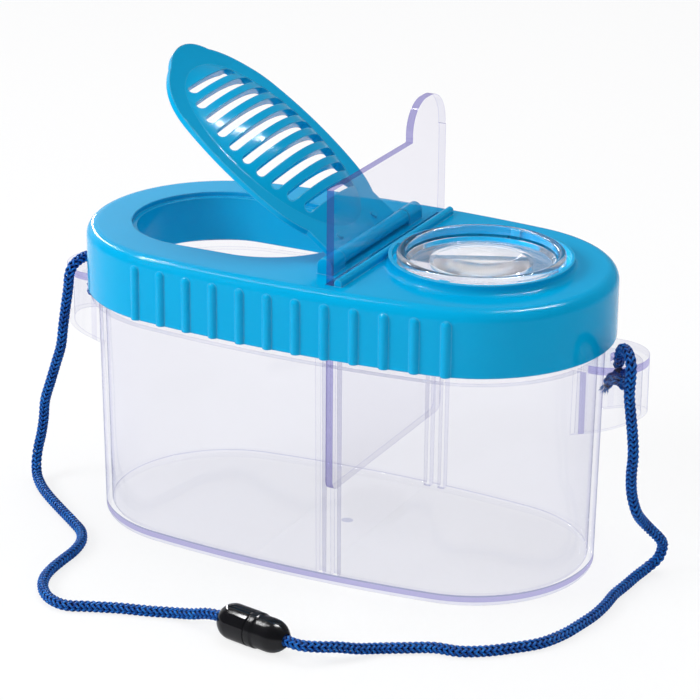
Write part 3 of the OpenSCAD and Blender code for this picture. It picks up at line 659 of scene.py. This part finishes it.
clearFacts = {
    "mirror": 0.5,
    "rough": (0.03, 0.07),
    "inside": 0.1,  # share of the bands on a wall's inner face
    # Painted glow: a pale emission that stands in for the light seen through many clear faces.
    "paleGlow": (0.8, 0.8, 0.86, 1),
    "glowAfter": 6.5,  # clear faces that the camera sees through before the painted glow takes over
    "tub": {
        "tint": [
            (0.0, (0.968, 0.968, 0.982)),
            (0.76, (0.955, 0.955, 0.978)),
            (0.86, (0.84, 0.84, 0.92)),
            (0.94, (0.5, 0.5, 0.7)),
            (1.0, (0.33, 0.33, 0.55)),
        ],
        # Painted shade at sharp edges.
        "edge": (0.64, 0.63, 0.81),
        "edgeReach": 0.00025,
        "bands": tubBands,
    },
    "divider": {
        "tint": [
            (0.0, (0.991, 0.99, 0.996)),
            (0.7, (0.98, 0.978, 0.99)),
            (0.92, (0.93, 0.92, 0.965)),
            (1.0, (0.75, 0.73, 0.87)),
        ],
        # Painted shade at sharp edges.
        "edge": (0.62, 0.6, 0.84),
        "edgeReach": 0.0003,
        "bands": dividerBands,
    },
}


# Clear plastic as a see-through tint, darker at a slant, with painted shade at edges and in bands, under a thin
# mirror.
def clearPlastic(name, facts):
    material, tree, shader, out = newMaterial(name)
    tree.nodes.remove(shader)
    place = objectPlace(tree)
    broad = noise(tree, place, 26)
    fine = noise(tree, place, 600)
    wave = bump(tree, broad, 0.04, 0.002)
    facing = addNode(tree, "ShaderNodeLayerWeight", {"Blend": 0.5}).outputs["Facing"]
    tint = ramp(tree, facing, facts["tint"])
    # Painted shade: darker near sharp edges.
    tint = mixColour(tree, edgeNear(tree, facts["edgeReach"]), tint, facts["edge"], "MULTIPLY")
    behind = addNode(tree, "ShaderNodeNewGeometry").outputs["Backfacing"]
    outside = mapRange(tree, behind, 0.0, 1.0, 1.0, clearFacts["inside"])
    for share, colour in facts["bands"](tree, place):
        tint = mixColour(tree, times(tree, share, outside), tint, colour, "MULTIPLY")
    through = addNode(tree, "ShaderNodeBsdfTransparent", {"Color": tint})
    gloss = {"Color": (1, 1, 1, 1), "Roughness": roughness(tree, fine, clearFacts["rough"]), "Normal": wave}
    mirror = addNode(tree, "ShaderNodeBsdfGlossy", gloss)
    slant = addNode(tree, "ShaderNodeLayerWeight", {"Blend": 0.5, "Normal": wave}).outputs["Facing"]
    bounce = maths(tree, "ADD", times(tree, maths(tree, "POWER", slant, 5.0), 0.9), 0.04)
    both = mixShaders(tree, times(tree, bounce, clearFacts["mirror"]), through, mirror)
    path = addNode(tree, "ShaderNodeLightPath").outputs
    # Painted glow: past this many clear faces, the camera sees the pale emission.
    many = maths(tree, "GREATER_THAN", path["Transparent Depth"], clearFacts["glowAfter"])
    paleGlow = addNode(tree, "ShaderNodeEmission", {"Color": clearFacts["paleGlow"], "Strength": 1.0})
    last = mixShaders(tree, times(tree, many, path["Is Camera Ray"]), both, paleGlow)
    tree.links.new(last.outputs["Shader"], out.inputs["Surface"])
    return material


lensFacts = {
    "tint": [(0.35, (0.975, 0.975, 0.985)), (0.65, (0.985, 0.985, 0.995))],
    "rough": (0.01, 0.02),
    "ior": 1.49,
    "through": (0.94, 0.94, 0.96, 1),
    "share": 0.1,  # seen straight through, without the glass
}


# Clear plastic that bends light, and lets it through to what it shades.
def lensPlastic(name):
    facts = lensFacts
    material, tree, shader, out = newMaterial(name)
    place = objectPlace(tree)
    broad = noise(tree, place, 30)
    fine = noise(tree, place, 700)
    tree.links.new(ramp(tree, broad, facts["tint"]), shader.inputs["Base Color"])
    tree.links.new(roughness(tree, fine, facts["rough"]), shader.inputs["Roughness"])
    tree.links.new(bump(tree, broad, 0.03, 0.001), shader.inputs["Normal"])
    shader.inputs["IOR"].default_value = facts["ior"]
    shader.inputs["Transmission Weight"].default_value = 1.0
    through = addNode(tree, "ShaderNodeBsdfTransparent", {"Color": facts["through"]})
    path = addNode(tree, "ShaderNodeLightPath").outputs
    mix = mixShaders(tree, maths(tree, "MAXIMUM", path["Is Shadow Ray"], facts["share"]), shader, through)
    tree.links.new(mix.outputs["Shader"], out.inputs["Surface"])
    return material


blackFacts = {
    "tint": [(0.3, (0.004, 0.004, 0.005)), (0.7, (0.007, 0.007, 0.009))],
    "socket": {"rough": (0.07, 0.11), "shine": 0.22},
    "plug": {"rough": (0.2, 0.24), "shine": 0.25},
}


def blackPlastic(name, facts):
    material, tree, shader, _ = newMaterial(name)
    place = objectPlace(tree)
    broad = noise(tree, place, 120)
    fine = noise(tree, place, 2500, 3)
    tree.links.new(ramp(tree, broad, blackFacts["tint"]), shader.inputs["Base Color"])
    tree.links.new(roughness(tree, fine, facts["rough"]), shader.inputs["Roughness"])
    tree.links.new(bump(tree, broad, 0.03, 0.0001), shader.inputs["Normal"])
    shader.inputs["Specular IOR Level"].default_value = facts["shine"]
    return material


knitFacts = {
    # Painted shade: yarn darker the deeper it lies in the stitches, darkest on the strand inside.
    "shadeByDepth": [
        (0.0, (0.006, 0.003, 0.045)),
        (0.45, (0.004, 0.005, 0.08)),
        (0.75, (0.0, 0.042, 0.245)),
        (0.95, (0.002, 0.11, 0.47)),
    ],
    # Painted highlight on the tops of the loops.
    "loopGlint": (0.06, 0.4, 0.92),
    "patch": [(0.3, (0.6, 0.6, 0.72)), (0.62, (1, 1, 1))],
    "rough": 0.55,
    "shine": 0.15,
    "sheen": 0.1,
    "sheenTint": (0.3, 0.55, 1, 1),
}


# Blue yarn with painted shade, nearly black deep in the stitches, and pale spots on the loop tops as a painted
# highlight, along fibres that twist along it.
def knitMaterial(name):
    facts = knitFacts
    material, tree, shader, _ = newMaterial(name)
    depth = addNode(tree, "ShaderNodeAttribute", attribute_name="depth").outputs["Fac"]
    twist = addNode(tree, "ShaderNodeAttribute", attribute_name="fibre").outputs["Vector"]
    fibres = noise(tree, twist, 1.9, 3, 0.6)
    patch = noise(tree, objectPlace(tree), 260)
    body = ramp(tree, depth, facts["shadeByDepth"])
    # Painted highlight: pale spots where the fibre pattern is high, on the loop tops only.
    loopGlint = times(tree, mapRange(tree, fibres, 0.5, 0.7, 0.0, 0.8), fade(tree, depth, 0.5, 0.9))
    body = mixColour(tree, loopGlint, body, facts["loopGlint"])
    body = mixColour(tree, 1.0, body, ramp(tree, patch, facts["patch"]), "MULTIPLY")
    tree.links.new(body, shader.inputs["Base Color"])
    shader.inputs["Roughness"].default_value = facts["rough"]
    shader.inputs["Specular IOR Level"].default_value = facts["shine"]
    shader.inputs["Sheen Weight"].default_value = facts["sheen"]
    shader.inputs["Sheen Tint"].default_value = facts["sheenTint"]
    tree.links.new(bump(tree, fibres, 0.6, 0.00008), shader.inputs["Normal"])
    return material


solidFacts = {
    # Painted shade: dark between the raised stitches.
    "stitches": [(0.1, (0.01, 0.15, 0.6)), (0.5, (0.004, 0.07, 0.4)), (0.8, (0.006, 0.01, 0.1))],
    # Painted highlight: pale spots.
    "fibre": (0.08, 0.33, 0.8),
    "rough": 0.6,
}


# The cord material for the imported parts, which have no yarn of their own: painted shade between the raised
# stitches, and pale spots as a painted highlight.
def cordSolid(name):
    facts = solidFacts
    material, tree, shader, _ = newMaterial(name)
    place = objectPlace(tree)
    stitches = addNode(tree, "ShaderNodeTexVoronoi", {"Vector": place, "Scale": 900.0}).outputs["Distance"]
    fibre = noise(tree, place, 5200, 3, 0.7)
    body = ramp(tree, stitches, facts["stitches"])
    body = mixColour(tree, mapRange(tree, fibre, 0.5, 0.75, 0.0, 0.6), body, facts["fibre"])
    tree.links.new(body, shader.inputs["Base Color"])
    shader.inputs["Roughness"].default_value = facts["rough"]
    tree.links.new(bump(tree, stitches, -0.6, 0.0003), shader.inputs["Normal"])
    return material


materials = {
    "lid": bluePlastic("lidBlue"),
    "flap": bluePlastic("flapBlue"),
    "tub": clearPlastic("tubClear", clearFacts["tub"]),
    "divider": clearPlastic("dividerClear", clearFacts["divider"]),
    "lens": lensPlastic("lensClear"),
    "socket": blackPlastic("socketBlack", blackFacts["socket"]),
    "plug": blackPlastic("plugBlack", blackFacts["plug"]),
    "cord": knitMaterial("cordKnit"),
    "cordSolid": cordSolid("cordSolid"),
}

nodeMaterials = {
    "tub": "tub",
    "lid": "lid",
    "vent_flap": "flap",
    "divider": "divider",
    "lens": "lens",
    "clasp_socket": "socket",
    "clasp_plug": "plug",
    "knot_socket": "cordSolid",
    "knot_plug": "cordSolid",
    "cord_left": "cordSolid",
    "cord_right": "cordSolid",
    "knot_left": "cordSolid",
    "knot_right": "cordSolid",
}


def paintNode(name, material):
    obj = nodes[name]
    for slot in obj.material_slots:
        slot.material = material
    if not obj.material_slots:
        addMaterial(obj, material)


for name, key in nodeMaterials.items():
    paintNode(name, materials[key])
for piece in (cordLeft, cordRight, knotLeft, knotRight):
    addMaterial(piece, materials["cord"])
addMaterial(claspSocket, materials["socket"])
addMaterial(claspPlug, materials["plug"])
print("materials done")

# Floor, world and lamps

floorFacts = {
    "size": 12,
    "colour": (0.9, 0.9, 0.91, 1),
    "rough": 0.9,
    "glow": 0.8,  # share of plain white where the camera looks, alone or through the lens
}


def makeFloor():
    bpy.ops.mesh.primitive_plane_add(size=floorFacts["size"], calc_uvs=False)
    floor = bpy.context.object
    floor.name = "floor"
    material, tree, shader, out = newMaterial("floorWhite")
    shader.inputs["Base Color"].default_value = floorFacts["colour"]
    shader.inputs["Roughness"].default_value = floorFacts["rough"]
    shader.inputs["Specular IOR Level"].default_value = 0.0
    path = addNode(tree, "ShaderNodeLightPath").outputs
    seen = maths(tree, "MAXIMUM", path["Is Camera Ray"], path["Is Transmission Ray"])
    glow = addNode(tree, "ShaderNodeEmission", {"Color": (1, 1, 1, 1), "Strength": 1.0})
    mix = mixShaders(tree, times(tree, seen, floorFacts["glow"]), shader, glow)
    tree.links.new(mix.outputs["Shader"], out.inputs["Surface"])
    addMaterial(floor, material)


worldFacts = {
    "soft": {"Color": (0.97, 0.98, 1, 1), "Strength": 0.5},
    "white": {"Color": (1, 1, 1, 1), "Strength": 1.0},
    "mirrored": (0.12, 1.0),  # in front and behind
    "behind": (0.0, 0.4),  # how far back the bright part begins
    "leftward": (-0.4, -0.5),  # how far left it is whole
    "right": 0.15,  # share of it on the right
}


# Soft studio light: dim from the front and bright from the back in mirrored rays, white where the camera looks.
def makeWorld():
    world = bpy.data.worlds.new("studio")
    bpy.context.scene.world = world
    world.use_nodes = True
    tree = world.node_tree
    tree.nodes.clear()
    out = tree.nodes.new("ShaderNodeOutputWorld")
    path = addNode(tree, "ShaderNodeLightPath").outputs
    direction = addNode(tree, "ShaderNodeTexCoord").outputs["Generated"]
    parts = addNode(tree, "ShaderNodeSeparateXYZ", {"Vector": direction}).outputs
    behind = fade(tree, parts["Y"], *worldFacts["behind"])
    leftward = mapRange(tree, parts["X"], *worldFacts["leftward"], worldFacts["right"], 1.0)
    mirrored = mapRange(tree, times(tree, behind, leftward), 0.0, 1.0, *worldFacts["mirrored"])
    soft = addNode(tree, "ShaderNodeBackground", worldFacts["soft"])
    white = addNode(tree, "ShaderNodeBackground", worldFacts["white"])
    mirror = addNode(tree, "ShaderNodeBackground", {"Color": (1, 1, 1, 1), "Strength": mirrored})
    first = mixShaders(tree, path["Is Glossy Ray"], soft, mirror)
    through = maths(tree, "GREATER_THAN", path["Transmission Depth"], 0.5)
    last = mixShaders(tree, maths(tree, "MAXIMUM", path["Is Camera Ray"], through), first, white)
    tree.links.new(last.outputs["Shader"], out.inputs["Surface"])


# Mirrored lamps only draw highlights, the others only light. "side" is the direction of a lamp's first edge.
lampSide = (0.978, -0.208, 0)
lampTarget = Vector((0, 0, 0.05))
lamps = {
    "key": {"place": (-0.85, -0.75, 0.7), "size": (0.6, 0.6), "power": 12, "mirrored": False, "side": lampSide},
    "fill": {"place": (0.9, -0.5, 0.5), "size": (0.5, 0.8), "power": 0.8, "mirrored": False, "side": lampSide},
    "top": {"place": (0, 0.25, 1.2), "size": (1, 0.6), "power": 5, "mirrored": False, "side": lampSide},
    "streak": {"place": (-0.76, -0.1, 1.045), "size": (0.03, 0.4), "power": 6, "mirrored": True, "side": lampSide},
    "rim": {
        "place": (-0.8, 0.46, 0.45),
        "size": (0.9, 0.05),
        "power": 8,
        "mirrored": True,
        "side": (0, -0.656, 0.754),
    },
    "front": {"place": (-0.42, -0.12, 0.95), "size": (0.3, 0.08), "power": 2, "mirrored": True, "side": (1, 0, 0)},
    "over": {
        "place": (0.25, 0.31, 0.96),
        "size": (0.45, 0.05),
        "power": 14,
        "mirrored": True,
        "side": (0.55, 0.83, 0),
    },
}


def makeLamp(name, facts):
    data = bpy.data.lights.new(name, "AREA")
    data.shape = "RECTANGLE"
    data.size, data.size_y = facts["size"]
    data.energy = facts["power"]
    lamp = bpy.data.objects.new(name, data)
    place = Vector(facts["place"])
    back = (place - lampTarget).normalized()
    side = Vector(facts["side"])
    side = (side - back * side.dot(back)).normalized()
    look = Matrix((side, back.cross(side), back)).transposed().to_4x4()
    lamp.matrix_world = Matrix.Translation(place) @ look
    lamp.visible_glossy = facts["mirrored"]
    lamp.visible_diffuse = not facts["mirrored"]
    bpy.context.scene.collection.objects.link(lamp)


makeFloor()
makeWorld()
for name, facts in lamps.items():
    makeLamp(name, facts)
bpy.context.scene.view_settings.view_transform = "Standard"
print("stage done")
